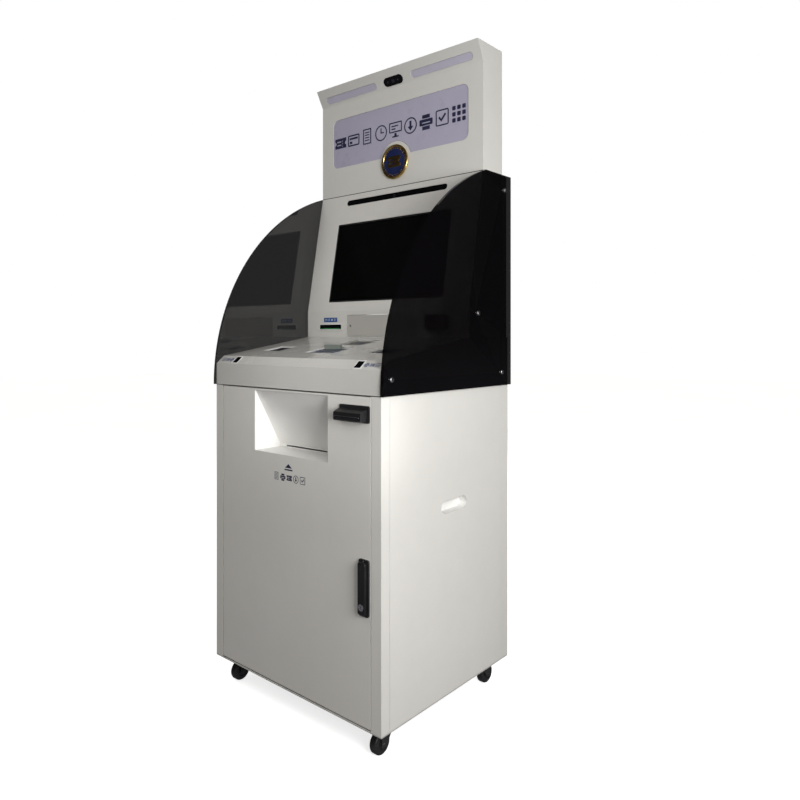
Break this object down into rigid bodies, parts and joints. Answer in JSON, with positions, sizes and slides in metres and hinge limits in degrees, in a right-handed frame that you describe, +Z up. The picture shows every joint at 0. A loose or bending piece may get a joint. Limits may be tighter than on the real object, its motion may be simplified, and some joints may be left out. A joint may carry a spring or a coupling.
{
  "type": "self-service ticket terminal",
  "caption": "Free-standing self-service ticket and document terminal on casters, with touch screen, side privacy panels, lit header, paper outlet and lockable doors.",
  "frame": {"origin": "on the floor, below the middle of the overall box", "axes": "+X to the user's right, +Y from the front to the back, +Z up; the user stands on the -Y side"},
  "size_m": [0.624, 0.538, 1.6849],
  "materials": {
    "painted_sheet": "fine-textured off-white powder coat",
    "case_steel": "zinc-plated sheet",
    "printer_plastic": "satin moulded",
    "well_plastic": "satin",
    "dark_window": "gloss",
    "screen_glass": "gloss",
    "display_case": "satin",
    "black_plastic": "fine moulded texture",
    "smoked_acrylic": "polished, see-through",
    "sign_acrylic": "frosted, backlit",
    "badge_gilt": "polished and enamelled",
    "circuit_board": "white solder mask",
    "bright_steel": "plated",
    "paper": "thermal paper",
    "roller_rubber": "ground",
    "fork_steel": "black enamel",
    "wheel_nylon": "satin"
  },
  "bodies": {
    "cabinet": {"base_plate": "painted_sheet", "cabinet_frame": "painted_sheet", "side_panels": "painted_sheet", "side_grips": "painted_sheet", "equipment_shelf": "painted_sheet", "table_top": "painted_sheet", "monitor_panel": "painted_sheet", "inset_panel": "painted_sheet", "console_sides": "painted_sheet", "rear_covers": "painted_sheet", "header_shell": "painted_sheet", "computer": "case_steel", "power_supply": "case_steel", "document_printer": "printer_plastic", "reader_wells": "well_plastic", "card_stop": "well_plastic", "reader_windows": "dark_window", "camera_windows": "dark_window", "bevel_windows": "dark_window", "touch_glass": "screen_glass", "display_module": "display_case", "card_reader": "display_case", "card_bezel": "black_plastic", "code_scanner": "black_plastic", "fan_frame": "black_plastic", "power_inlet": "black_plastic", "cable_gland": "black_plastic", "smoked_panels": "smoked_acrylic", "sign_panel": "sign_acrylic", "lamp_diffusers": "sign_acrylic", "sign_badge": "badge_gilt", "light_boards": "circuit_board", "panel_screws": "bright_steel", "hinge_pins": "bright_steel", "caster_plates": "bright_steel"},
    "front_door_leaf": {"front_door": "painted_sheet", "outlet_chute": "painted_sheet", "slot_bezel": "black_plastic", "receipt_printer": "case_steel", "handle_base": "black_plastic"},
    "paper_roll_body": {"paper_roll": "paper"},
    "platen_body": {"platen_roller": "roller_rubber"},
    "spindle": {"latch_cam": "bright_steel"},
    "lever": {"swing_lever": "black_plastic"},
    "key_plug": {"lock_cylinder": "bright_steel"},
    "rear_door_leaf": {"rear_door": "painted_sheet"},
    "rear_lock_body": {"rear_lock": "bright_steel"},
    "fan": {"fan_rotor": "black_plastic"},
    "mains_rocker": {"power_rocker": "black_plastic"},
    "fork_front_left": {"fork_front_left": "fork_steel"},
    "wheel_front_left": {"wheel_front_left": "wheel_nylon"},
    "fork_front_right": {"fork_front_right": "fork_steel"},
    "wheel_front_right": {"wheel_front_right": "wheel_nylon"},
    "fork_rear_left": {"fork_rear_left": "fork_steel"},
    "wheel_rear_left": {"wheel_rear_left": "wheel_nylon"},
    "fork_rear_right": {"fork_rear_right": "fork_steel"},
    "wheel_rear_right": {"wheel_rear_right": "wheel_nylon"},
    "brake_rear_left": {"brake_rear_left": "black_plastic"},
    "brake_rear_right": {"brake_rear_right": "black_plastic"}
  },
  "joints": [
    {"name": "front_door_hinge", "type": "hinge", "parent": "cabinet", "child": "front_door_leaf", "pos_m": [-0.2625, -0.242, 0.798], "axis": [0, 0, -1], "range_deg": [0, 105]},
    {"name": "handle_turn", "type": "hinge", "parent": "front_door_leaf", "child": "spindle", "pos_m": [0.251, -0.247, 0.4205], "axis": [0, 1, 0], "range_deg": [0, 90]},
    {"name": "handle_lift", "type": "hinge", "parent": "spindle", "child": "lever", "pos_m": [0.251, -0.2553, 0.4325], "axis": [-1, 0, 0], "range_deg": [0, 30]},
    {"name": "key_turn", "type": "hinge", "parent": "lever", "child": "key_plug", "pos_m": [0.251, -0.2513, 0.3395], "axis": [0, 1, 0], "range_deg": [0, 90]},
    {"name": "paper_roll_spin", "type": "hinge", "parent": "front_door_leaf", "child": "paper_roll_body", "pos_m": [0.221, -0.191, 0.727], "axis": [1, 0, 0], "continuous": true},
    {"name": "platen_spin", "type": "hinge", "parent": "front_door_leaf", "child": "platen_body", "pos_m": [0.221, -0.231, 0.735], "axis": [1, 0, 0], "continuous": true},
    {"name": "rear_door_hinge", "type": "hinge", "parent": "cabinet", "child": "rear_door_leaf", "pos_m": [-0.2625, 0.254, 0.798], "axis": [0, 0, 1], "range_deg": [0, 105]},
    {"name": "rear_lock_turn", "type": "hinge", "parent": "rear_door_leaf", "child": "rear_lock_body", "pos_m": [0.239, 0.259, 0.3795], "axis": [0, 1, 0], "range_deg": [0, 90]},
    {"name": "fan_spin", "type": "hinge", "parent": "cabinet", "child": "fan", "pos_m": [0, 0.238, 1.15436], "axis": [0, 1, 0], "continuous": true},
    {"name": "rocker_tip", "type": "hinge", "parent": "cabinet", "child": "mains_rocker", "pos_m": [0.19, 0.254, 0.1125], "axis": [1, 0, 0], "range_deg": [0, 24]},
    {"name": "swivel_front_left", "type": "hinge", "parent": "cabinet", "child": "fork_front_left", "pos_m": [-0.255, -0.185, 0.06], "axis": [0, 0, 1], "continuous": true},
    {"name": "roll_front_left", "type": "hinge", "parent": "fork_front_left", "child": "wheel_front_left", "pos_m": [-0.255, -0.203, 0.025], "axis": [1, 0, 0], "continuous": true},
    {"name": "swivel_front_right", "type": "hinge", "parent": "cabinet", "child": "fork_front_right", "pos_m": [0.255, -0.185, 0.06], "axis": [0, 0, 1], "continuous": true},
    {"name": "roll_front_right", "type": "hinge", "parent": "fork_front_right", "child": "wheel_front_right", "pos_m": [0.255, -0.203, 0.025], "axis": [1, 0, 0], "continuous": true},
    {"name": "swivel_rear_left", "type": "hinge", "parent": "cabinet", "child": "fork_rear_left", "pos_m": [-0.255, 0.197, 0.06], "axis": [0, 0, 1], "continuous": true},
    {"name": "roll_rear_left", "type": "hinge", "parent": "fork_rear_left", "child": "wheel_rear_left", "pos_m": [-0.255, 0.215, 0.025], "axis": [1, 0, 0], "continuous": true},
    {"name": "swivel_rear_right", "type": "hinge", "parent": "cabinet", "child": "fork_rear_right", "pos_m": [0.255, 0.197, 0.06], "axis": [0, 0, 1], "continuous": true},
    {"name": "roll_rear_right", "type": "hinge", "parent": "fork_rear_right", "child": "wheel_rear_right", "pos_m": [0.255, 0.215, 0.025], "axis": [1, 0, 0], "continuous": true},
    {"name": "brake_pedal_rear_left", "type": "hinge", "parent": "fork_rear_left", "child": "brake_rear_left", "pos_m": [-0.255, 0.227, 0.051], "axis": [1, 0, 0], "range_deg": [0, 20]},
    {"name": "brake_pedal_rear_right", "type": "hinge", "parent": "fork_rear_right", "child": "brake_rear_right", "pos_m": [0.255, 0.227, 0.051], "axis": [1, 0, 0], "range_deg": [0, 20]}
  ],
  "couplings": [
    {"joint": "platen_spin", "follows": "paper_roll_spin", "ratio": -4.4}
  ]
}
